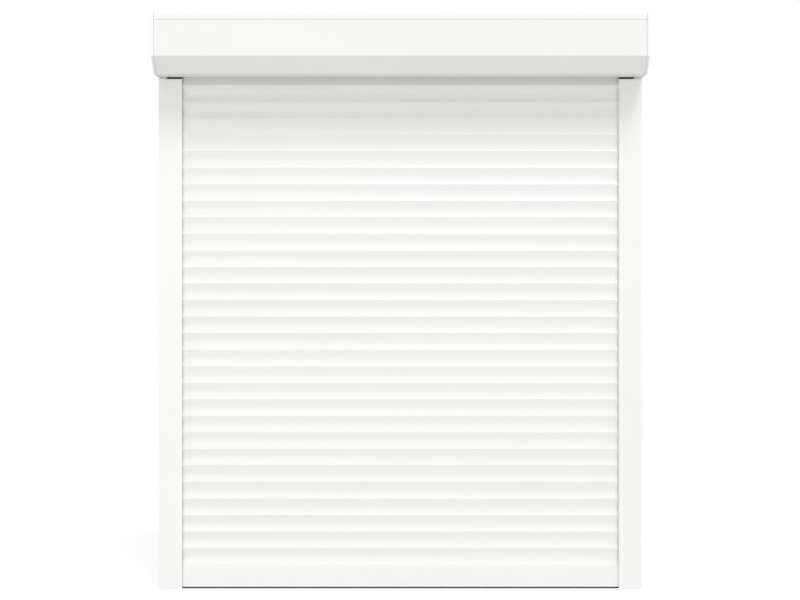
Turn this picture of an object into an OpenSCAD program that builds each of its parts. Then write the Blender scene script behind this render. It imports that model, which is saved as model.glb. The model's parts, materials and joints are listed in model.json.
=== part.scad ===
// Front-mounted roller shutter: a box with a strap-driven shaft, two guide rails
// and a curtain of hooked slats.
// Sizes are in millimetres. X runs along the box, the street side faces minus Y and Z points up.
// Sections are drawn as distance from the wall against height, and rail sections as distance
// from the rail's outer side against distance from the wall.

/* [Overall] */
// Width over the two end caps
overall_w = 1100; // [800:10:1400]
// Height from the rail feet to the top of the end caps
overall_h = 1300; // [1000:10:1370]

/* [Box] */
// Depth of the box from the wall
box_d = 137; // [134:1:165]
// Height of the box
box_h = 137; // [134:1:165]
// Height and depth of the slanted lower front edge
chamfer = 37; // [26:1:42]
// Thickness of an end cap's plate
cap_t = 5; // [4:0.5:7]
// How far an end cap's edge stands proud of the covers
cap_lip = 2; // [1.5:0.25:3]
// Thickness of the cover sheet
sheet_t = 1.2; // [0.8:0.1:1.6]
// Outer bend radius of the cover sheet
bend_r = 3; // [2:0.5:5]
// Height of the top cover's front lip
front_lip = 15.5; // [13:0.5:22]
// Height of the shadow groove under the front lip
groove_h = 4; // [2:0.5:6]
// Height of the front cover's tongue behind the front lip
tuck_h = 10; // [6:0.5:11]
// Distance from the wall to the front cover's rear edge
slot_d = 27; // [25:0.5:32]
// Height of the front cover's turned-up rear edge
hem_h = 8; // [5:0.5:12]
// Length of an end cap's locating ribs
rib_len = 14; // [10:1:16]
// Thickness of an end cap's locating ribs
rib_t = 2.5; // [2:0.25:3.5]
// Distance of the locating ribs from the upper corners of the box
rib_clear = 18; // [15:1:22]
// Distance of the locating ribs from the bends of the front cover
rib_corner = 6; // [5:0.5:8]
// Height of the rear rib's lower end above the underside of the box
rear_rib_h = 64; // [62:1:70]
// Length of an end cap's screw tab
tab_len = 34; // [30:1:40]
// Depth of an end cap's screw tab
tab_d = 14; // [11:0.5:18]
// Distance from the end of the box to a cover screw
screw_inset = 30; // [26:0.5:33]
// Length of the spigot that enters a rail
spigot_len = 45; // [30:1:70]
// Height of the block that carries the spigot
spigot_foot_h = 6; // [4:0.5:9]

/* [Guide rails] */
// Width of a guide rail
rail_w = 53; // [50:0.5:58]
// Depth of a guide rail
rail_d = 22; // [20:0.5:24]
// Wall thickness of a guide rail
rail_t = 1.8; // [1.4:0.1:2.2]
// Width of the rail's closed outer chamber
chamber_w = 20; // [16:0.5:22]
// Gap between the rails and the box
rail_gap = 2; // [1.5:0.5:6]
// Thickness of the ribs that hold a brush seal
brush_rib_t = 1.2; // [0.9:0.1:1.5]
// Width of the brush seal's groove
brush_groove_w = 6.1; // [5.5:0.1:7]
// Depth of the brush seal's groove
brush_groove_d = 2; // [1.6:0.1:2.4]
// Overhang of the hooks that keep a brush seal in
brush_hook = 0.9; // [0.6:0.1:1.2]
// Thickness of those hooks
brush_hook_t = 0.8; // [0.6:0.1:1]
// Diameter of the side fixing holes
fix_hole_d = 6.5; // [5:0.5:8]
// Diameter of the screwdriver holes behind them
access_hole_d = 11; // [9:0.5:13]
// Height of the lowest fixing hole
fix_z = 150; // [80:10:250]
// Distance of the highest fixing hole from the top of the rail
fix_top = 151; // [80:1:250]
// Number of fixing holes in a rail
fix_count = 3; // [2:1:4]
// Height of the plug in a rail's foot
foot_plug_h = 12; // [8:1:20]
// Wall thickness of that plug
foot_plug_t = 2; // [1.5:0.1:3]

/* [Inlet guides] */
// Play of the curtain between the inlet guide's lips
inlet_play = 1.4; // [1:0.1:2]
// Thickness of the inlet guide's lips and collar
inlet_t = 2; // [1.6:0.1:2.4]
// Depth of the inlet guide's tongues in the rail
inlet_tongue = 20; // [12:1:30]
// Height of the inlet guide above the rail
inlet_h = 12; // [10:0.5:16]
// Distance of the inlet guide from the rail's edges
inlet_inset = 0.5; // [0.4:0.1:1]

/* [Slats] */
// Cover height of one slat
slat_pitch = 37.7; // [35:0.1:42]
// Depth of a slat at its lower edge
slat_t = 8; // [7.6:0.1:8.6]
// Wall thickness of a slat
slat_skin = 0.7; // [0.6:0.05:0.9]
// Radius of a slat's hollowed front
slat_front_r = 40; // [36:1:80]
// Height of the hollow's deepest line above the slat's lower edge
slat_waist = 16.5; // [14:0.5:18]
// Height above a slat's lower edge where the hollow runs out into a straight face
slat_bend = 25; // [22:0.5:26]
// Share of the hollow's slope that the straight face keeps
lean_share = 0.95; // [0.6:0.05:0.95]
// Radius of a slat's bulged rear
slat_rear_r = 120; // [100:1:160]
// Gap between neighbouring slats
slat_play = 0.1; // [0.1:0.1:3]
// Height of the pocket in a slat's lower edge
pocket_h = 5.4; // [5:0.1:7]
// Thickness of the ledge that carries the next slat
ledge_t = 1; // [0.8:0.1:1.4]
// Thickness of the hook's head
hook_t = 1.1; // [0.9:0.1:1.4]
// Distance of the hook's neck from the rear of the slat
neck_d = 2.6; // [2.4:0.1:3]
// Length that the curtain's ends reach into a rail
slat_engage = 21; // [18:0.5:23]
// Thickness of a slat's end clip
clip_t = 2; // [1.5:0.1:3]
// Length of an end clip's plug
clip_plug = 10; // [6:1:20]

/* [Bottom bar] */
// Height of the lowest slat's lower edge above the rail feet
curtain_z = 54.5; // [44:0.5:70]
// Height of the bottom seal's lower face above the rail feet
seal_z = 0.9; // [0.2:0.1:2]
// Visible height of the bottom seal
seal_h = 3.6; // [2.4:0.1:6]
// Radius of the bottom seal's lower corners
seal_r = 1.5; // [0.8:0.1:2]
// Wall thickness of the bottom bar
bar_wall = 1.3; // [1:0.1:1.5]
// Width of the seal's groove in the bottom bar
seal_groove_w = 4.8; // [4.4:0.1:5]
// Height of the seal's groove
seal_groove_h = 2.4; // [2:0.1:3]
// Width of that groove's mouth
seal_mouth_w = 3; // [2.4:0.1:3.4]

/* [Shaft] */
// Width of the eight-sided shaft across its flats
shaft_w = 40; // [38:1:46]
// Wall thickness of the shaft
shaft_wall = 0.8; // [0.6:0.1:1.2]
// Radius of the steel pins at the shaft's ends
pin_r = 6; // [5:0.5:7]
// Length of a pin inside the shaft
pin_hold = 25; // [15:1:28]
// Length of the plugs inside the shaft
plug_len = 30; // [30:1:60]
// Thickness of the end plug's flange
plug_flange_t = 3; // [2:0.5:5]
// Radius of the strap pulley's flanges
pulley_r = 54; // [46:1:55]
// Radius of the strap pulley's core
pulley_core_r = 24; // [22:1:30]
// Thickness of the strap pulley's flanges
pulley_flange_t = 1.5; // [1.2:0.1:2]
// Width between the strap pulley's flanges
strap_w = 14; // [12:0.5:14.5]
// Outer radius of the bearing bushes
bush_r = 10; // [9:0.5:12]
// Outer radius of the bearing bosses
boss_r = 16; // [14:0.5:20]
// Thickness of the end cap left outside a bush
boss_skin = 1.5; // [1:0.1:2.5]

/* [Hangers] */
// Width of a hanger strap
hanger_w = 22; // [16:1:30]
// Thickness of a hanger strap
hanger_t = 0.5; // [0.3:0.05:0.7]
// Bend radius of a hanger strap
hanger_r = 46; // [42:1:47]
// Distance between neighbouring hanger straps
hanger_pitch = 350; // [150:10:370]
// Number of hanger straps
hanger_count = 3; // [2:1:3]
// Length of the tab that enters the shaft
hanger_tab = 3; // [2:0.5:5]
// Reach of a hanger strap beyond the shaft's axis
hanger_reach = 3.3; // [2:0.1:6]

/* [Strap inlet] */
// Height of the strap inlet above the underside of the box
inlet_z = 42; // [40:0.5:46]
// Inner width of the strap inlet
strap_gate_w = 15.6; // [14:0.2:16]
// Inner height of the strap inlet
strap_gate_h = 7.6; // [5:0.2:8]
// Wall thickness of the strap inlet
gate_t = 1.2; // [1:0.1:1.5]
// Length of the strap inlet from its flange
gate_len = 8; // [6:0.5:9]
// Margin of the strap inlet's flange around its slot
gate_flange = 3; // [2:0.5:4]
// Distance from the wall to the tips of the ears that hold the guide roller
gate_ear_d = 15.5; // [14:0.5:17]
// Radius of the strap's guide roller
roller_r = 4; // [3.5:0.1:4.2]
// Radius of the guide roller's pin
roller_pin_r = 1.5; // [1.2:0.1:1.8]

/* [Fasteners] */
// Shank radius of the cover screws
screw_r = 2; // [1.5:0.1:2.5]
// Head radius of the cover screws
screw_head_r = 3.6; // [3:0.1:4.5]
// Head height of the cover screws
screw_head_h = 1.8; // [1.2:0.1:2.2]
// Length of the cross recess in a cover screw's head
recess_len = 4.2; // [3:0.1:5]
// Width of that recess
recess_w = 1; // [0.7:0.1:1.3]
// Depth of that recess
recess_h = 1; // [0.6:0.1:1.1]
// Shank radius of the rivets
rivet_r = 1.6; // [1.2:0.1:2]
// Head radius of the rivets
rivet_head_r = 3.4; // [2.8:0.1:4]
// Head height of the rivets
rivet_head_h = 1; // [0.8:0.1:1.2]
// Length of a rivet's tail behind its rib
rivet_tail = 1.5; // [1:0.1:2.5]
// Distance from the wall to the first rivet on top of the box
rivet_top_start = 41; // [30:1:50]
// Distance between the two rivets on top of the box
rivet_top_pitch = 55; // [40:1:60]
// Height of the lower rivet in the rear wall above the underside of the box
rivet_rear_start = 77; // [74:1:80]
// Distance between the two rivets in the rear wall
rivet_rear_pitch = 33; // [25:1:36]

/* [Fits] */
// Clearance between pieces that sit in one another
seat_gap = 0.3; // [0.2:0.05:0.4]
// Clearance around turning pins
run_gap = 0.05; // [0.03:0.01:0.08]
// Clearance around bushes and pins that stay put
press_gap = 0.05; // [0.03:0.01:0.08]
// Clearance around screw and rivet shanks
shank_gap = 0.15; // [0.1:0.05:0.3]
// Side clearance of the turning pieces in the box
side_gap = 1; // [0.8:0.1:1.5]

/* [Hidden] */
$fn = 96;
large_fn = 720;
eps = 0.5;

half_w = overall_w / 2;
wall_y = box_d / 2;
z_box = overall_h - box_h;
z_top = overall_h;
cap_in = half_w - cap_t;
cover_len = 2 * (cap_in - seat_gap);
slant = sqrt(2) - 1;

// Box covers
face_d = box_d - cap_lip;
z_lip = z_top - cap_lip - front_lip;
z_face = z_lip - groove_h;
rib_in = cap_lip + sheet_t + seat_gap;
bottom_rib_start = slot_d + sheet_t + rib_corner;
rear_rib_z = z_box + rear_rib_h;
spigot_side = chamber_w - rail_t - seat_gap;
tab_start = box_d - chamfer - tab_d - rib_corner / 2;
tab_z = z_box + rib_in;
tab_t = rib_t + eps;
screw_d = tab_start + tab_d / 2;
screw_x = half_w - screw_inset;
rivet_x = cap_in - rib_len / 2;
rivet_top_d = [rivet_top_start, rivet_top_start + rivet_top_pitch];
rivet_rear_z = [for (i = [0, 1]) z_box + rivet_rear_start + i * rivet_rear_pitch];

// Guide rails
rail_top = z_box - rail_gap;
rail_in = half_w - rail_w;
fix_pitch = (rail_top - fix_top - fix_z) / (fix_count - 1);
brush_rib_h = brush_groove_d + brush_hook_t;
brush_inner = rail_w - 2 * brush_rib_t - brush_groove_w;

// Curtain
slat_d = (rail_d - slat_t) / 2;
curtain_half = rail_in + slat_engage;
slat_len = 2 * (curtain_half - clip_t);
slat_count = floor((z_box - curtain_z) / slat_pitch) + 1;
slat_body_h = slat_pitch - slat_play;
slat_front_c = slat_t + sqrt(pow(slat_front_r, 2) - pow(slat_waist, 2));
slat_bend_angle = asin((slat_bend - slat_waist) / slat_front_r);
slat_lean = lean_share * slat_bend_angle;
slat_lean_start = slat_front_r * sin(slat_bend_angle - slat_lean);
hook_z = ledge_t + seat_gap;
hook_tip = slat_front(hook_z + hook_t) - slat_skin - 2 * seat_gap;
neck_gap = 1.5 * seat_gap;
mouth_d = neck_d + slat_skin + neck_gap;
bar_z = seal_z + seal_h;
bar_top = curtain_z - slat_play;
bar_chamber_z = bar_z + 2 * bar_wall + seal_groove_h;
bar_chamber_h = bar_top - bar_wall - bar_chamber_z;
seal_head_w = seal_groove_w - 2 * seat_gap;
seal_head_h = seal_groove_h - 2 * seat_gap;
seal_neck_w = seal_mouth_w - 2 * seat_gap;
seal_side = seat_gap;
seal_corner = min(seal_r, seal_h / 2);

// Shaft
shaft_d = box_d / 2;
shaft_z = z_box + box_h / 2;
shaft_r = shaft_w / 2;
pulley_x = curtain_half + 2 * side_gap;
pulley_w = strap_w + 2 * pulley_flange_t;
shaft_half = pulley_x - side_gap / 2;
boss_x = pulley_x + pulley_w + side_gap;
pin_end = half_w - boss_skin - side_gap;
bush_len = half_w - boss_skin - boss_x;

// Hangers
hanger_z = shaft_z + shaft_r + seat_gap;
hanger_line = slat_d + hook_tip + seat_gap;
hanger_bend_d = hanger_line + hanger_r;
hanger_bend_z = hanger_z + hanger_t - hanger_r;
hanger_foot_z = curtain_z + slat_count * slat_pitch;
hanger_tip_d = shaft_d + hanger_reach;

// Strap inlet
gate_x = pulley_x + pulley_w / 2;
gate_z = z_box + inlet_z;
gate_w = strap_gate_w + 2 * gate_t;
gate_h = strap_gate_h + 2 * gate_t;
roller_d = gate_ear_d - roller_r + seat_gap;
roller_z = gate_z - strap_gate_h / 2 - roller_r + eps;

function slat_name(i) = str("slat_", i < 10 ? "0" : "", i);

// Depth of a slat's hollowed front at a height above its lower edge
function slat_front(z) = slat_front_c - sqrt(pow(slat_front_r, 2) - pow(z - slat_waist, 2));

// Box outline set in by a distance on every side
function outline(inset) = [
    [inset, z_box + inset],
    [inset, z_top - inset],
    [box_d - inset, z_top - inset],
    [box_d - inset, z_box + chamfer + inset * slant],
    [box_d - chamfer - inset * slant, z_box + inset]
];

// Draws a wall-distance against height section along the box
module along_x(length, centre_x = 0) {
    translate([centre_x, wall_y, 0])
        rotate([90, 0, -90])
            linear_extrude(height = length, center = true)
                children();
}

// Stands a rail section up on the right-hand side
module up_rail(z_low, z_high) {
    translate([half_w, wall_y, z_low])
        rotate([0, 0, 180])
            linear_extrude(height = z_high - z_low)
                children();
}

module left_of() {
    mirror([1, 0, 0])
        children();
}

module x_rod(r, x_low, x_high, d, z) {
    translate([x_low, wall_y - d, z])
        rotate([0, 90, 0])
            cylinder(r = r, h = x_high - x_low);
}

module x_octagon(across, x_low, x_high) {
    translate([x_low, wall_y - shaft_d, shaft_z])
        rotate([0, 90, 0])
            rotate([0, 0, 22.5])
                cylinder(r = across / 2 / cos(22.5), h = x_high - x_low, $fn = 8);
}

// Box outline with its two upper corners rounded
module box_shape(inset, r) {
    difference() {
        polygon(outline(inset));
        translate([inset, z_top - inset])
            corner_cut(r, 0);
        translate([box_d - inset, z_top - inset])
            corner_cut(r, -90);
    }
}

module corner_cut(r, turn) {
    rotate(turn)
        difference() {
            translate([-r, -r])
                square(2 * r);
            translate([r, -r])
                circle(r);
            translate([r, -2 * r])
                square(2 * r);
            translate([-r, -3 * r])
                square([4 * r, 2 * r]);
        }
}

// One layer of cover sheet all round the box
module sheet_ring() {
    difference() {
        box_shape(cap_lip, bend_r);
        box_shape(cap_lip + sheet_t, bend_r - sheet_t);
    }
}

module top_cover_section() {
    intersection() {
        sheet_ring();
        union() {
            translate([0, z_box])
                square([cap_lip + sheet_t, box_h]);
            translate([0, z_lip])
                square([box_d, z_top - z_lip]);
        }
    }
}

// Turned-up rear edge, underside, slant, front face and the tongue that tucks behind the lip
module front_cover_section() {
    outside = outline(cap_lip);
    inside = outline(cap_lip + sheet_t);
    underside_z = z_box + cap_lip;
    hem_top = underside_z + hem_h;
    tongue_d = face_d - 2 * sheet_t - seat_gap;
    tongue_top = z_face + groove_h + tuck_h;
    polygon([
        [slot_d, hem_top],
        [slot_d, underside_z],
        outside[4],
        outside[3],
        [face_d, z_face],
        [tongue_d + sheet_t, z_face],
        [tongue_d + sheet_t, tongue_top],
        [tongue_d, tongue_top],
        [tongue_d, z_face - sheet_t],
        [face_d - sheet_t, z_face - sheet_t],
        inside[3],
        inside[4],
        [slot_d + sheet_t, underside_z + sheet_t],
        [slot_d + sheet_t, hem_top]
    ]);
}

module top_cover() {
    color("whitesmoke")
        difference() {
            along_x(cover_len)
                top_cover_section();
            translate([gate_x, wall_y, gate_z])
                cube([gate_w + 2 * seat_gap, 4 * rib_in, gate_h + 2 * seat_gap], center = true);
            at_rivets()
                cylinder(r = rivet_r + shank_gap, h = 4 * rib_in, center = true);
        }
}

module front_cover() {
    color("white")
        difference() {
            along_x(cover_len)
                front_cover_section();
            at_cover_screws()
                cylinder(r = screw_r + shank_gap, h = 4 * rib_in, center = true);
        }
}

// Puts its child at each cover screw, on the underside of the front cover
module at_cover_screws() {
    for (side = [-1, 1])
        translate([side * screw_x, wall_y - screw_d, z_box + cap_lip])
            children();
}

// Puts its child at each rivet, with the child's Z pointing out of the cover
module at_rivets() {
    for (side = [-1, 1]) {
        for (d = rivet_top_d)
            translate([side * rivet_x, wall_y - d, z_top - cap_lip])
                children();
        for (z = rivet_rear_z)
            translate([side * rivet_x, wall_y - cap_lip, z])
                rotate([-90, 0, 0])
                    children();
    }
}

module cover_screws() {
    color("gainsboro")
        at_cover_screws()
            difference() {
                union() {
                    translate([0, 0, -screw_head_h])
                        cylinder(r = screw_head_r, h = screw_head_h);
                    cylinder(r = screw_r, h = rib_in - cap_lip + tab_t + eps);
                }
                for (turn = [0, 90])
                    translate([0, 0, -screw_head_h])
                        rotate(turn)
                            cube([recess_len, recess_w, 2 * recess_h], center = true);
            }
}

module cover_rivets() {
    color("gainsboro")
        at_rivets() {
            cylinder(r1 = rivet_head_r, r2 = rivet_head_r / 2, h = rivet_head_h);
            translate([0, 0, -(rib_in - cap_lip + rib_t + rivet_tail)])
                cylinder(r = rivet_r, h = rib_in - cap_lip + rib_t + rivet_tail);
        }
}

// Straight ribs that the covers slide over
module cap_rib_section() {
    intersection() {
        difference() {
            polygon(outline(rib_in));
            polygon(outline(rib_in + rib_t));
        }
        union() {
            translate([rib_clear, z_top - rib_clear])
                square([box_d - 2 * rib_clear, rib_clear]);
            translate([box_d - rib_clear, z_box + chamfer + rib_corner])
                square([rib_clear, z_face - z_box - chamfer - 2 * rib_corner]);
            translate([box_d - chamfer + rib_corner / 2, z_box + rib_corner])
                square([chamfer - rib_corner, chamfer - rib_corner]);
            translate([bottom_rib_start, z_box])
                square([box_d - chamfer - rib_corner / 2 - bottom_rib_start, rib_clear]);
            translate([0, rear_rib_z])
                square([rib_clear, z_top - rib_clear - rear_rib_z]);
        }
    }
}

module end_cap() {
    difference() {
        union() {
            along_x(cap_t, half_w - cap_t / 2)
                box_shape(0, bend_r + cap_lip);
            along_x(rib_len + eps, cap_in - (rib_len - eps) / 2)
                cap_rib_section();
            along_x(tab_len + eps, cap_in - (tab_len - eps) / 2)
                translate([tab_start, tab_z])
                    square([tab_d, tab_t]);
            x_rod(boss_r, boss_x, cap_in + eps, shaft_d, shaft_z);
            up_rail(z_box - eps, z_box - eps + spigot_foot_h)
                translate([eps, rib_in])
                    square([spigot_side - eps, rail_d - rail_t - seat_gap - rib_in]);
            up_rail(z_box - spigot_len, z_box)
                chamber_shape(seat_gap);
        }
        x_rod(bush_r + press_gap, boss_x - eps, half_w - boss_skin, shaft_d, shaft_z);
        at_cover_screws()
            cylinder(r = screw_r + shank_gap, h = 4 * rib_in, center = true);
        at_rivets()
            cylinder(r = rivet_r + shank_gap, h = 4 * rib_in, center = true);
    }
}

module end_cap_right() {
    color("snow")
        end_cap();
}

module end_cap_left() {
    color("snow")
        left_of()
            end_cap();
}

// Inside of the rail's closed chamber, set in by a distance
module chamber_shape(inset) {
    translate([rail_t + inset, rail_t + inset])
        square([chamber_w - 2 * (rail_t + inset), rail_d - 2 * (rail_t + inset)]);
}

// Ribs of one brush groove, rising from a flange's inner face
module brush_groove() {
    for (s = [brush_inner, rail_w - brush_rib_t])
        translate([s, -eps])
            square([brush_rib_t, brush_rib_h + eps]);
    for (s = [brush_inner, rail_w - brush_rib_t - brush_hook])
        translate([s, brush_groove_d])
            square([brush_rib_t + brush_hook, brush_hook_t]);
}

// Puts its child on the front and the rear flange of a rail
module both_flanges() {
    translate([0, rail_t])
        children();
    translate([0, rail_d - rail_t])
        mirror([0, 1])
            children();
}

module rail_section() {
    difference() {
        square([chamber_w, rail_d]);
        chamber_shape(0);
    }
    for (d = [0, rail_d - rail_t])
        translate([chamber_w - rail_t, d])
            square([rail_w - chamber_w + rail_t, rail_t]);
    both_flanges()
        brush_groove();
}

module rail() {
    mid_chamber = half_w - chamber_w / 2;
    difference() {
        up_rail(0, rail_top)
            rail_section();
        for (i = [0 : fix_count - 1]) {
            z = fix_z + i * fix_pitch;
            x_rod(fix_hole_d / 2, mid_chamber, half_w + eps, rail_d / 2, z);
            x_rod(access_hole_d / 2, half_w - chamber_w - eps, mid_chamber, rail_d / 2, z);
        }
    }
}

module rail_right() {
    color("white")
        rail();
}

module rail_left() {
    color("white")
        left_of()
            rail();
}

module brush_section() {
    translate([brush_inner + brush_rib_t + seat_gap, seat_gap])
        square([brush_groove_w - 2 * seat_gap, brush_groove_d - 2 * seat_gap]);
    translate([brush_inner + brush_rib_t + brush_hook + seat_gap, seat_gap])
        square([brush_groove_w - 2 * (brush_hook + seat_gap), slat_d - rail_t - 2 * seat_gap]);
}

module brush_seals() {
    up_rail(eps, rail_top - eps)
        both_flanges()
            brush_section();
}

module brush_seals_right() {
    color("darkgray")
        brush_seals();
}

module brush_seals_left() {
    color("darkgray")
        left_of()
            brush_seals();
}

module rail_plug() {
    difference() {
        up_rail(0, foot_plug_h)
            chamber_shape(seat_gap);
        up_rail(foot_plug_t, foot_plug_h + eps)
            chamber_shape(seat_gap + foot_plug_t);
    }
}

module rail_plug_right() {
    color("white")
        rail_plug();
}

module rail_plug_left() {
    color("white")
        left_of()
            rail_plug();
}

// Curved front lip and straight rear lip that lead the curtain into a rail
module inlet_lip_section() {
    front = slat_d + slat_t + inlet_play;
    rear = slat_d - inlet_play;
    lip_r = slot_d - 2 * seat_gap - front;
    translate([front + lip_r, rail_top + inlet_t])
        intersection() {
            difference() {
                circle(lip_r);
                circle(lip_r - inlet_t);
            }
            translate([-lip_r, 0])
                square(lip_r);
        }
    translate([front, rail_top])
        square([inlet_t, inlet_t + eps / 5]);
    translate([rear - inlet_t, rail_top])
        square([inlet_t, inlet_h]);
}

module inlet_guide() {
    front = slat_d + slat_t + inlet_play;
    rear = slat_d - inlet_play;
    outer = chamber_w + inlet_inset;
    length = rail_w - inlet_inset - outer;
    lips_x = half_w - outer - length / 2;
    along_x(length, lips_x)
        inlet_lip_section();
    up_rail(rail_top, rail_top + inlet_t) {
        translate([outer, inlet_inset])
            square([length, rear - inlet_inset]);
        translate([outer, front])
            square([length, rail_d - inlet_inset - front]);
        translate([outer, inlet_inset])
            square([2 * inlet_t, rail_d - 2 * inlet_inset]);
    }
    up_rail(rail_top - inlet_tongue, rail_top + inlet_t) {
        translate([outer, rail_t + seat_gap])
            square([brush_inner - outer - seat_gap, rear - rail_t - seat_gap]);
        translate([outer, front])
            square([brush_inner - outer - seat_gap, rail_d - rail_t - seat_gap - front]);
    }
}

module inlet_guide_right() {
    color("darkslategray")
        inlet_guide();
}

module inlet_guide_left() {
    color("darkslategray")
        left_of()
            inlet_guide();
}

// Hollow in a slat's front: an arc, and above it a straight face that leans forward
module slat_hollow(inset) {
    translate([slat_front_c, slat_waist])
        circle(slat_front_r + inset, $fn = large_fn);
    translate([slat_front(slat_bend) - inset / cos(slat_lean), slat_bend])
        rotate(-slat_lean)
            translate([0, -slat_lean_start])
                square([slat_t, slat_pitch]);
}

// Section between a slat's hollowed front and its bulged rear, set in by a distance
module slat_shape(inset, z_low, z_high) {
    intersection() {
        translate([slat_rear_r, slat_body_h / 2])
            circle(slat_rear_r - inset, $fn = large_fn);
        difference() {
            translate([-eps, z_low])
                square([eps + slat_t + seat_gap / 2, z_high - z_low]);
            slat_hollow(inset);
        }
    }
}

// Neck and head of the hook that hangs in the slat above
module hook_section(z_low) {
    translate([neck_d, z_low])
        square([slat_skin, slat_pitch + hook_z + hook_t - z_low]);
    translate([neck_d, slat_pitch + hook_z])
        square([hook_tip - neck_d, hook_t]);
}

module slat_section() {
    difference() {
        slat_shape(0, 0, slat_body_h);
        slat_shape(slat_skin, pocket_h + slat_skin, slat_body_h - slat_skin);
        slat_shape(slat_skin, ledge_t, pocket_h);
        translate([-eps, -eps])
            square([mouth_d + eps, ledge_t + 2 * eps]);
    }
    hook_section(slat_body_h - eps);
}

module clip_plug_section() {
    inset = slat_skin + seat_gap;
    slat_shape(inset, pocket_h + inset, slat_body_h - inset);
}

module slat(i) {
    color(i % 2 == 0 ? "white" : "ghostwhite")
        translate([0, -slat_d, curtain_z + (i - 1) * slat_pitch]) {
            along_x(slat_len)
                slat_section();
            for (side = [-1, 1]) {
                along_x(clip_t - seat_gap / 2, side * (curtain_half - clip_t / 2 + seat_gap / 4))
                    slat_shape(seat_gap, seat_gap, slat_body_h - seat_gap);
                along_x(clip_plug, side * (slat_len / 2 - clip_plug / 2 + seat_gap))
                    clip_plug_section();
            }
        }
}

module bottom_bar_section() {
    middle = slat_t / 2;
    difference() {
        translate([0, bar_z])
            square([slat_t, bar_top - bar_z]);
        translate([bar_wall, bar_chamber_z])
            square([slat_t - 2 * bar_wall, bar_chamber_h]);
        translate([middle - seal_groove_w / 2, bar_z + bar_wall])
            square([seal_groove_w, seal_groove_h]);
        translate([middle - seal_mouth_w / 2, bar_z - eps])
            square([seal_mouth_w, bar_wall + 2 * eps]);
    }
    translate([0, curtain_z - slat_pitch])
        hook_section(slat_body_h - eps);
}

module bottom_bar() {
    color("white")
        translate([0, -slat_d, 0])
            along_x(slat_len)
                bottom_bar_section();
}

module bottom_seal_section() {
    middle = slat_t / 2;
    wide = slat_t - 2 * seal_side;
    translate([seal_side, seal_z + seal_corner])
        square([wide, seal_h - seal_corner]);
    translate([seal_side + seal_corner, seal_z])
        square([wide - 2 * seal_corner, seal_h]);
    for (f = [seal_side + seal_corner, slat_t - seal_side - seal_corner])
        translate([f, seal_z + seal_corner])
            circle(seal_corner);
    translate([middle - seal_neck_w / 2, seal_z + seal_h - eps])
        square([seal_neck_w, eps + bar_wall + seat_gap + eps]);
    translate([middle - seal_head_w / 2, bar_z + bar_wall + seat_gap])
        square([seal_head_w, seal_head_h]);
}

module bottom_seal() {
    color("black")
        translate([0, -slat_d, 0])
            along_x(slat_len)
                bottom_seal_section();
}

module bar_plug() {
    translate([0, -slat_d, 0]) {
        along_x(clip_t - seat_gap / 2, curtain_half - clip_t / 2 + seat_gap / 4)
            translate([seat_gap, bar_z])
                square([slat_t - 2 * seat_gap, bar_top - bar_z]);
        along_x(clip_plug, slat_len / 2 - clip_plug / 2 + seat_gap)
            translate([bar_wall + seat_gap, bar_chamber_z + seat_gap])
                square([slat_t - 2 * (bar_wall + seat_gap), bar_chamber_h - 2 * seat_gap]);
    }
}

module bar_plug_right() {
    color("white")
        bar_plug();
}

module bar_plug_left() {
    color("white")
        left_of()
            bar_plug();
}

module shaft() {
    color("silver")
        difference() {
            x_octagon(shaft_w, -shaft_half, shaft_half);
            x_octagon(shaft_w - 2 * shaft_wall, -shaft_half - eps, shaft_half + eps);
            at_hangers()
                translate([0, wall_y - hanger_tip_d + hanger_t / 2, shaft_z + shaft_r])
                    cube([hanger_w + 4 * seat_gap, hanger_t + 2 * seat_gap, shaft_r], center = true);
        }
}

module shaft_insert(x_low, x_high) {
    x_octagon(shaft_w - 2 * (shaft_wall + seat_gap), x_low, x_high);
}

module strap_pulley() {
    color("ivory")
        difference() {
            union() {
                shaft_insert(pulley_x - plug_len, pulley_x + eps);
                x_rod(pulley_core_r, pulley_x, pulley_x + pulley_w, shaft_d, shaft_z);
                for (x = [pulley_x, pulley_x + pulley_w - pulley_flange_t])
                    x_rod(pulley_r, x, x + pulley_flange_t, shaft_d, shaft_z);
            }
            x_rod(pin_r + press_gap, pulley_x - pin_hold, pulley_x + pulley_w + eps, shaft_d, shaft_z);
        }
}

module end_plug() {
    flange_x = -pulley_x - plug_flange_t;
    color("ivory")
        difference() {
            union() {
                shaft_insert(-pulley_x - eps, -pulley_x + plug_len);
                x_rod(pulley_core_r, flange_x, -pulley_x, shaft_d, shaft_z);
            }
            x_rod(pin_r + press_gap, flange_x - eps, -pulley_x + pin_hold, shaft_d, shaft_z);
        }
}

module shaft_pins() {
    color("lightslategray") {
        x_rod(pin_r, pulley_x - pin_hold + seat_gap, pin_end, shaft_d, shaft_z);
        x_rod(pin_r, -pin_end, -pulley_x + pin_hold - seat_gap, shaft_d, shaft_z);
    }
}

module bush() {
    difference() {
        x_rod(bush_r, boss_x, boss_x + bush_len, shaft_d, shaft_z);
        x_rod(pin_r + run_gap, boss_x - eps, boss_x + bush_len + eps, shaft_d, shaft_z);
    }
}

module bush_right() {
    color("darkgray")
        bush();
}

module bush_left() {
    color("darkgray")
        left_of()
            bush();
}

// Puts its child at each hanger strap along the shaft
module at_hangers() {
    for (i = [0 : hanger_count - 1])
        translate([(i - (hanger_count - 1) / 2) * hanger_pitch, 0, 0])
            children();
}

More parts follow.
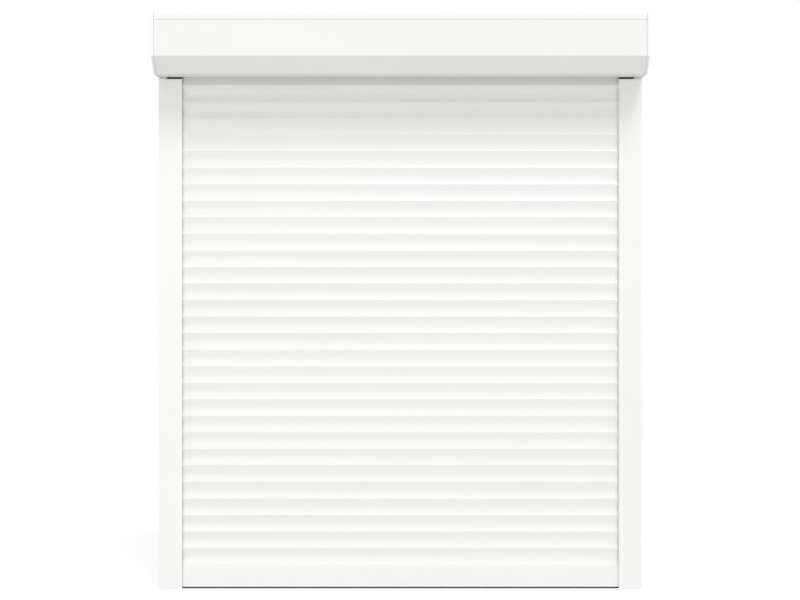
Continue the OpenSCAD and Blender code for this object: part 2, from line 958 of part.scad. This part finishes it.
module hanger_section() {
    translate([slat_d + mouth_d, hanger_foot_z])
        square([hanger_line - slat_d - mouth_d + hanger_t, ledge_t]);
    translate([hanger_line, hanger_foot_z])
        square([hanger_t, hanger_bend_z - hanger_foot_z]);
    translate([hanger_bend_d, hanger_bend_z])
        intersection() {
            difference() {
                circle(hanger_r, $fn = large_fn);
                circle(hanger_r - hanger_t, $fn = large_fn);
            }
            translate([-hanger_r, 0])
                square(hanger_r);
        }
    translate([hanger_bend_d, hanger_z])
        square([hanger_tip_d - hanger_bend_d, hanger_t]);
    translate([hanger_tip_d - hanger_t, hanger_z - seat_gap - hanger_tab])
        square([hanger_t, hanger_t + seat_gap + hanger_tab]);
}

module hangers() {
    color("steelblue")
        at_hangers()
            along_x(hanger_w)
                hanger_section();
}

module strap_inlet() {
    flange_d = cap_lip - seat_gap;
    ear_low = roller_z - roller_r;
    color("slategray")
        difference() {
            union() {
                along_x(gate_w + 2 * gate_flange, gate_x)
                    translate([seat_gap, gate_z - gate_h / 2 - gate_flange])
                        square([flange_d - seat_gap, gate_h + 2 * gate_flange]);
                along_x(gate_w, gate_x)
                    translate([seat_gap, gate_z - gate_h / 2])
                        square([gate_len - seat_gap, gate_h]);
                for (side = [-1, 1])
                    along_x(gate_t, gate_x + side * (strap_gate_w + gate_t) / 2)
                        translate([rib_in, ear_low])
                            square([gate_ear_d - rib_in, gate_z + gate_h / 2 - ear_low]);
            }
            translate([gate_x, wall_y, gate_z])
                cube([strap_gate_w, 3 * gate_len, strap_gate_h], center = true);
            x_rod(roller_pin_r + press_gap, gate_x - gate_w, gate_x + gate_w, roller_d, roller_z);
        }
}

module strap_roller() {
    roller_half = strap_gate_w / 2 - seat_gap;
    color("gray")
        difference() {
            x_rod(roller_r, gate_x - roller_half, gate_x + roller_half, roller_d, roller_z);
            x_rod(roller_pin_r + run_gap, gate_x - gate_w, gate_x + gate_w, roller_d, roller_z);
        }
}

module roller_pin() {
    color("lightslategray")
        x_rod(roller_pin_r, gate_x - gate_w / 2, gate_x + gate_w / 2, roller_d, roller_z);
}

top_cover();
front_cover();
end_cap_left();
end_cap_right();
cover_screws();
cover_rivets();
rail_left();
rail_right();
brush_seals_left();
brush_seals_right();
inlet_guide_left();
inlet_guide_right();
rail_plug_left();
rail_plug_right();
shaft();
strap_pulley();
end_plug();
shaft_pins();
bush_left();
bush_right();
hangers();
strap_inlet();
strap_roller();
roller_pin();
bottom_bar();
bottom_seal();
bar_plug_left();
bar_plug_right();
for (i = [1 : slat_count]) slat(i);
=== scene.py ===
"""White exterior roller shutter: finishes, brush seals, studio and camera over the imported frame."""
import json
import math
import random

import bmesh
import bpy
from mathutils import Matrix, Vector


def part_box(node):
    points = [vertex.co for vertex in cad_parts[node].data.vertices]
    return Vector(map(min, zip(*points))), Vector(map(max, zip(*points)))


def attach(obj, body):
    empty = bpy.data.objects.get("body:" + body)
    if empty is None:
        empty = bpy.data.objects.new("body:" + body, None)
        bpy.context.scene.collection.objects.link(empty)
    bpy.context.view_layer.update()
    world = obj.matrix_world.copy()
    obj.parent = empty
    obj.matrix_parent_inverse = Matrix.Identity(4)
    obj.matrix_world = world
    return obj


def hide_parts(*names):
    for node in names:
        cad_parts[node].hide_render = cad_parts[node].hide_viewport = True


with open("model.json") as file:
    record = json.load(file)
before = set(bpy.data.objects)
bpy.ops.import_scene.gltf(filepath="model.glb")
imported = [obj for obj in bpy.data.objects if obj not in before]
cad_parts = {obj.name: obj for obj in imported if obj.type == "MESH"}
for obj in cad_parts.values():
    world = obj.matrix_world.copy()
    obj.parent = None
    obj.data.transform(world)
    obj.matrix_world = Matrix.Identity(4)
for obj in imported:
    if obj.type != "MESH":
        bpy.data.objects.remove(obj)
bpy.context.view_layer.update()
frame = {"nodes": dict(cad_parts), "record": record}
scene = bpy.context.scene
MM = 0.001


# Shader helpers

def add(tree, kind, inputs=None, **settings):
    """Adds one shader node; an input is a plain value, or another node's output."""
    made = tree.nodes.new(kind)
    for key, value in settings.items():
        setattr(made, key, value)
    for key, value in (inputs or {}).items():
        if isinstance(value, bpy.types.NodeSocket):
            tree.links.new(value, made.inputs[key])
        else:
            made.inputs[key].default_value = value
    return made


def start(name, **constants):
    """A new material with a Principled shader, whose plain constants are set on its sockets."""
    material = bpy.data.materials.new(name)
    material.use_nodes = True
    tree = material.node_tree
    shader = tree.nodes["Principled BSDF"]
    for key, value in constants.items():
        shader.inputs[key.replace("_", " ")].default_value = value
    place = add(tree, "ShaderNodeTexCoord").outputs["Object"]
    return material, tree, shader, place


def link(tree, shader, colour, roughness, normal):
    """Feeds the three varying values into a Principled shader."""
    tree.links.new(colour, shader.inputs["Base Color"])
    tree.links.new(roughness, shader.inputs["Roughness"])
    tree.links.new(normal, shader.inputs["Normal"])


def noise(tree, place, scale, stretch=(1, 1, 1), detail=3.0):
    """Noise of about 1 / scale metres, drawn out along an axis where stretch is small."""
    mapped = add(tree, "ShaderNodeMapping", {"Vector": place, "Scale": stretch})
    made = add(tree, "ShaderNodeTexNoise", {
        "Vector": mapped.outputs["Vector"], "Scale": scale, "Detail": detail})
    return made.outputs["Fac"]


def between(tree, factor, low, high, start_at=0.3, end_at=0.7):
    """A factor's middle range, spread over two plain values."""
    made = add(tree, "ShaderNodeMapRange", {
        "Value": factor, "From Min": start_at, "From Max": end_at, "To Min": low, "To Max": high})
    return made.outputs["Result"]


def tint(tree, factor, dark, light, start_at=0.3, end_at=0.7):
    """A colour that runs from dark to light over a factor's middle range."""
    ramp = add(tree, "ShaderNodeValToRGB", {"Fac": factor})
    ramp.color_ramp.elements[0].position = start_at
    ramp.color_ramp.elements[1].position = end_at
    ramp.color_ramp.elements[0].color = (*dark, 1)
    ramp.color_ramp.elements[1].color = (*light, 1)
    return ramp.outputs["Color"]


def bump(tree, height, depth, under=None):
    """Surface relief of a depth in metres, laid over another relief."""
    inputs = {"Height": height, "Distance": depth, "Strength": 1.0}
    if under is not None:
        inputs["Normal"] = under
    return add(tree, "ShaderNodeBump", inputs).outputs["Normal"]


def shade(colour, amount):
    """A colour times a plain factor."""
    return tuple(c * amount for c in colour)


# Finishes

def coated(name, colour, drawn, roughness=0.4):
    """White coat on a profile or sheet: draw lines, fine orange peel and an uneven sheen."""
    material, tree, shader, place = start(
        name, Specular_IOR_Level=0.45, Coat_Weight=0.12, Coat_Roughness=0.25)
    cloud = noise(tree, place, scale=5.0)
    lines = noise(tree, place, scale=260.0, stretch=drawn, detail=2.0)
    peel = noise(tree, place, scale=900.0, detail=1.0)
    relief = bump(tree, lines, depth=0.03 * MM)
    link(tree, shader,
         tint(tree, cloud, dark=shade(colour, 0.985), light=colour),
         between(tree, peel, low=roughness - 0.05, high=roughness + 0.05),
         bump(tree, peel, depth=0.02 * MM, under=relief))
    return material


def cast_coat(name, colour):
    """White coat on a casting or rivet: coarser skin with a soft grain."""
    material, tree, shader, place = start(
        name, Specular_IOR_Level=0.45, Coat_Weight=0.08, Coat_Roughness=0.3)
    cloud = noise(tree, place, scale=9.0)
    skin = noise(tree, place, scale=420.0, detail=4.0)
    link(tree, shader,
         tint(tree, cloud, dark=shade(colour, 0.975), light=colour),
         between(tree, skin, low=0.4, high=0.55),
         bump(tree, skin, depth=0.06 * MM))
    return material


def moulded(name, colour, roughness=0.5):
    """Moulded plastic with a fine spark grain."""
    material, tree, shader, place = start(name, Specular_IOR_Level=0.4)
    cloud = noise(tree, place, scale=30.0)
    pits = noise(tree, place, scale=700.0, detail=2.0)
    link(tree, shader,
         tint(tree, cloud, dark=shade(colour, 0.9), light=colour),
         between(tree, pits, low=roughness - 0.08, high=roughness + 0.1),
         bump(tree, pits, depth=0.05 * MM))
    return material


def rubber(name, colour):
    """Extruded rubber: matt, with fine lines along it and a grey bloom."""
    material, tree, shader, place = start(name, Specular_IOR_Level=0.25)
    bloom = noise(tree, place, scale=60.0)
    lines = noise(tree, place, scale=900.0, stretch=(0.01, 1, 1))
    link(tree, shader,
         tint(tree, bloom, dark=colour, light=shade(colour, 1.9)),
         between(tree, bloom, low=0.7, high=0.85),
         bump(tree, lines, depth=0.1 * MM))
    return material


def pile(name, colour):
    """Brush pile: short fibres that stand across the strip."""
    material, tree, shader, place = start(
        name, Sheen_Weight=0.4, Sheen_Roughness=0.4, Specular_IOR_Level=0.15)
    fibres = noise(tree, place, scale=1600.0, stretch=(1, 0.06, 1))
    tufts = noise(tree, place, scale=220.0)
    link(tree, shader,
         tint(tree, fibres, dark=shade(colour, 0.45), light=shade(colour, 1.5)),
         between(tree, tufts, low=0.8, high=0.95),
         bump(tree, fibres, depth=0.3 * MM))
    return material


def galvanised(name, colour):
    """Zinc-coated steel: flat crystals of different greys."""
    material, tree, shader, place = start(name, Metallic=0.9)
    crystals = add(tree, "ShaderNodeTexVoronoi", {"Vector": place, "Scale": 130.0}, feature="F1")
    split = add(tree, "ShaderNodeSeparateColor", {"Color": crystals.outputs["Color"]})
    grey = split.outputs["Red"]
    scuffs = noise(tree, place, scale=500.0, stretch=(0.02, 1, 1))
    whole = {"start_at": 0.0, "end_at": 1.0}
    link(tree, shader,
         tint(tree, grey, dark=shade(colour, 0.8), light=shade(colour, 1.1), **whole),
         between(tree, grey, low=0.3, high=0.48, **whole),
         bump(tree, scuffs, depth=0.03 * MM))
    return material


def drawn_steel(name, colour, along, roughness=0.3):
    """Drawn or rolled steel with fine lines along its length."""
    material, tree, shader, place = start(name, Metallic=1.0)
    lines = noise(tree, place, scale=1400.0, stretch=along)
    haze = noise(tree, place, scale=45.0)
    link(tree, shader,
         tint(tree, haze, dark=shade(colour, 0.82), light=colour),
         between(tree, lines, low=roughness - 0.08, high=roughness + 0.12),
         bump(tree, lines, depth=0.02 * MM))
    return material


# Colours, and the directions in which the noise of drawn surfaces is stretched
WHITE = (0.885, 0.882, 0.868)
DARK = (0.018, 0.018, 0.02)
GREY = (0.42, 0.42, 0.4)
BEARING = (0.62, 0.58, 0.48)
PILE_GREY = (0.4, 0.4, 0.4)
BLACK = (0.012, 0.012, 0.013)
ZINC = (0.58, 0.6, 0.62)
BRIGHT = (0.72, 0.72, 0.73)
BLUED = (0.1, 0.12, 0.16)
ALONG_X = (0.004, 1, 1)
ALONG_Z = (1, 1, 0.004)
ALONG_STRAP = (1, 1, 0.01)
NO_DIRECTION = (1, 1, 1)

# One finish for each of the record's material slots
FINISHES = {
    "white_sheet": coated("white_sheet", WHITE, ALONG_X),
    "white_cast": cast_coat("white_cast", WHITE),
    "white_profile": coated("white_profile", WHITE, ALONG_Z, roughness=0.42),
    "white_slat": coated("white_slat", shade(WHITE, 0.985), ALONG_X),
    "white_rivet": cast_coat("white_rivet", shade(WHITE, 0.96)),
    "white_plastic": moulded("white_plastic", shade(WHITE, 0.97)),
    "dark_plastic": moulded("dark_plastic", DARK),
    "grey_plastic": moulded("grey_plastic", GREY),
    "bearing_plastic": moulded("bearing_plastic", BEARING, roughness=0.4),
    "brush_pile": pile("brush_pile", PILE_GREY),
    "black_rubber": rubber("black_rubber", BLACK),
    "galvanised_tube": galvanised("galvanised_tube", ZINC),
    "bright_steel": drawn_steel("bright_steel", BRIGHT, NO_DIRECTION),
    "spring_steel": drawn_steel("spring_steel", BLUED, ALONG_STRAP, roughness=0.36),
}

# Painted shade: the front cover gets a copy of the white sheet coat a shade greyer than the lip above
# it, standing in for the lesser light that falls on the front cover
FRONT_PAINTED_SHADE_FINISH = coated("white_front_painted_shade", shade(WHITE, 0.965), ALONG_X)

for part in frame["record"]["subparts"]:
    is_front = part["node"] == "front_cover"
    slots = frame["nodes"][part["node"]].data.materials
    slots.clear()
    # The front cover takes the greyer copy with painted shade; every other node takes its slot's
    # finish
    slots.append(FRONT_PAINTED_SHADE_FINISH if is_front else FINISHES[part["material_slot"]])


# Brush seals: a woven strip in the rail's groove, with tufts that stand against the curtain

STRIP_DEPTH = 1.4 * MM
ROOT_SINK = 0.4 * MM
PILE_REACH = 4.6 * MM
PILE_INSET = 0.9 * MM
CORE_REACH = 0.8      # the pile's dense middle, as shares of its reach and width
CORE_MARGIN = 0.35
TUFT_PITCH = 2.2 * MM
TUFT_ROOT = 0.75 * MM
TUFT_TIP = 0.45 * MM
TUFT_ROWS = 3
TUFT_SHIFT = 0.15     # most that a tuft stands off its place, as a share of the pitch
TUFT_SHORTEST = 0.93  # shortest tuft, as a share of the reach
TUFT_LEAN = 0.2       # in mm
CORNERS = ((-1, -1), (1, -1), (1, 1), (-1, 1))
SEED = 7


def add_box(mesh, low, high):
    """Closed block between two corners."""
    made = bmesh.ops.create_cube(mesh, size=1.0)["verts"]
    for vert in made:
        vert.co = [low[i] + (vert.co[i] + 0.5) * (high[i] - low[i]) for i in range(3)]


def add_ring(mesh, centre, half):
    """Four corners of a square across the strip's depth."""
    return [mesh.verts.new((centre[0] + a * half, centre[1], centre[2] + b * half))
            for a, b in CORNERS]


def add_tuft(mesh, root, tip):
    """Closed four-sided bundle of fibres that narrows a little towards its tip."""
    rings = [add_ring(mesh, root, TUFT_ROOT), add_ring(mesh, tip, TUFT_TIP)]
    for i in range(len(CORNERS)):
        j = (i + 1) % len(CORNERS)
        mesh.faces.new((rings[0][i], rings[0][j], rings[1][j], rings[1][i]))
    mesh.faces.new(rings[0])
    mesh.faces.new(rings[1])


def build_brush(node):
    """Both seals of one rail, front and rear."""
    low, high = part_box(node)
    chance = random.Random(SEED)
    mesh = bmesh.new()
    first, last = low[0] + PILE_INSET, high[0] - PILE_INSET
    core = (last - first) * CORE_MARGIN
    for foot, way in ((low[1], 1), (high[1], -1)):
        ends = sorted((foot, foot + way * STRIP_DEPTH))
        add_box(mesh, (low[0], ends[0], low[2]), (high[0], ends[1], high[2]))
        root = foot + way * (STRIP_DEPTH - ROOT_SINK)
        ends = sorted((root, foot + way * PILE_REACH * CORE_REACH))
        add_box(mesh, (first + core, ends[0], low[2]), (last - core, ends[1], high[2]))
        for step in range(int((high[2] - low[2]) / TUFT_PITCH)):
            for row in range(TUFT_ROWS):
                x = first + (row + 0.5) * (last - first) / TUFT_ROWS
                shift = chance.uniform(-TUFT_SHIFT, TUFT_SHIFT)
                z = low[2] + (step + 0.5 + shift) * TUFT_PITCH
                tip = foot + way * PILE_REACH * chance.uniform(TUFT_SHORTEST, 1.0)
                lean = chance.uniform(-TUFT_LEAN, TUFT_LEAN) * MM
                add_tuft(mesh, (x, root, z), (x + lean, tip, z + lean))
    data = bpy.data.meshes.new(node + "_pile")
    bmesh.ops.recalc_face_normals(mesh, faces=mesh.faces)
    mesh.to_mesh(data)
    mesh.free()
    brush = bpy.data.objects.new(node + "_pile", data)
    scene.collection.objects.link(brush)
    data.materials.append(FINISHES["brush_pile"])
    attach(brush, "housing")
    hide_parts(node)


build_brush("brush_seals_left")
build_brush("brush_seals_right")


# Studio

BACKGROUND = (1.0, 1.0, 1.0)
WORLD_LEVEL = 0.675
FLOOR_HALF = 3.0
FLOOR_PAINT = (0.74, 0.74, 0.74)
# Seen floor: a share of glow over the lit paint, white in the open and grey in the shadow
FLOOR_GLOW = 1.62
FLOOR_GLOW_SHARE = 0.4
# Camera as the photograph's edges give it
SENSOR_WIDTH = 36.0
LENS = 75.1
SHIFT_Y = -0.0614
CAMERA_PLACE = (-0.001, -3.7505, 0.770)


def seen_ray(tree):
    """1 for rays that show the background: straight, mirrored or through glass."""
    path = add(tree, "ShaderNodeLightPath")
    straight = add(tree, "ShaderNodeMath", {
        0: path.outputs["Is Camera Ray"], 1: path.outputs["Is Glossy Ray"]}, operation="MAXIMUM")
    seen = add(tree, "ShaderNodeMath", {
        0: straight.outputs["Value"], 1: path.outputs["Is Transmission Ray"]}, operation="MAXIMUM")
    return seen.outputs["Value"]


def build_world():
    """White where it is seen, and a plain soft light on the object."""
    world = bpy.data.worlds.new("studio")
    world.use_nodes = True
    scene.world = world
    tree = world.node_tree
    background = tree.nodes["Background"]
    background.inputs["Color"].default_value = (*BACKGROUND, 1)
    level = between(tree, seen_ray(tree), low=WORLD_LEVEL, high=1.0, start_at=0.0, end_at=1.0)
    tree.links.new(level, background.inputs["Strength"])


def build_floor():
    """Pale floor that shows as the background, with the object's soft shadow."""
    mesh = bpy.data.meshes.new("floor")
    corners = [(a * FLOOR_HALF, b * FLOOR_HALF, 0) for a, b in CORNERS]
    mesh.from_pydata(corners, [], [(0, 1, 2, 3)])
    floor = bpy.data.objects.new("floor", mesh)
    scene.collection.objects.link(floor)
    material = bpy.data.materials.new("floor")
    material.use_nodes = True
    tree = material.node_tree
    tree.nodes.clear()
    paint = add(tree, "ShaderNodeBsdfDiffuse", {"Color": (*FLOOR_PAINT, 1)})
    glow = add(tree, "ShaderNodeEmission", {"Color": (*BACKGROUND, 1), "Strength": FLOOR_GLOW})
    share = add(tree, "ShaderNodeMath", {
        0: seen_ray(tree), 1: FLOOR_GLOW_SHARE}, operation="MULTIPLY")
    mixed = add(tree, "ShaderNodeMixShader", {
        0: share.outputs["Value"], 1: paint.outputs["BSDF"], 2: glow.outputs["Emission"]})
    add(tree, "ShaderNodeOutputMaterial", {"Surface": mixed.outputs["Shader"]})
    mesh.materials.append(material)


def build_lamp(name, azimuth, elevation, distance, target, width, height, power):
    """Soft box that looks at a point; azimuth is from the front, positive to the right."""
    a, e = math.radians(azimuth), math.radians(elevation)
    away = Vector((math.sin(a) * math.cos(e), -math.cos(a) * math.cos(e), math.sin(e)))
    data = bpy.data.lights.new(name, "AREA")
    data.shape = "RECTANGLE"
    data.size = width
    data.size_y = height
    data.energy = power
    lamp = bpy.data.objects.new(name, data)
    lamp.location = Vector(target) + away * distance
    lamp.rotation_mode = "QUATERNION"
    lamp.rotation_quaternion = away.to_track_quat("Z", "Y")
    lamp.visible_camera = False
    scene.collection.objects.link(lamp)


def build_camera():
    """Level view from the street."""
    data = bpy.data.cameras.new("camera")
    data.sensor_width = SENSOR_WIDTH
    data.lens = LENS
    data.shift_y = SHIFT_Y
    camera = bpy.data.objects.new("camera", data)
    camera.location = CAMERA_PLACE
    camera.rotation_euler = (math.radians(90), 0, 0)
    scene.collection.objects.link(camera)
    scene.camera = camera


build_world()
build_floor()
build_lamp("key", azimuth=18, elevation=55, distance=10.0, target=(0, 0, 0.6),
           width=3.6, height=3.4, power=411)
build_lamp("fill", azimuth=-20, elevation=2, distance=9.0, target=(0, 0, 0.45),
           width=4.0, height=1.4, power=106)
build_camera()
scene.view_settings.view_transform = "Standard"
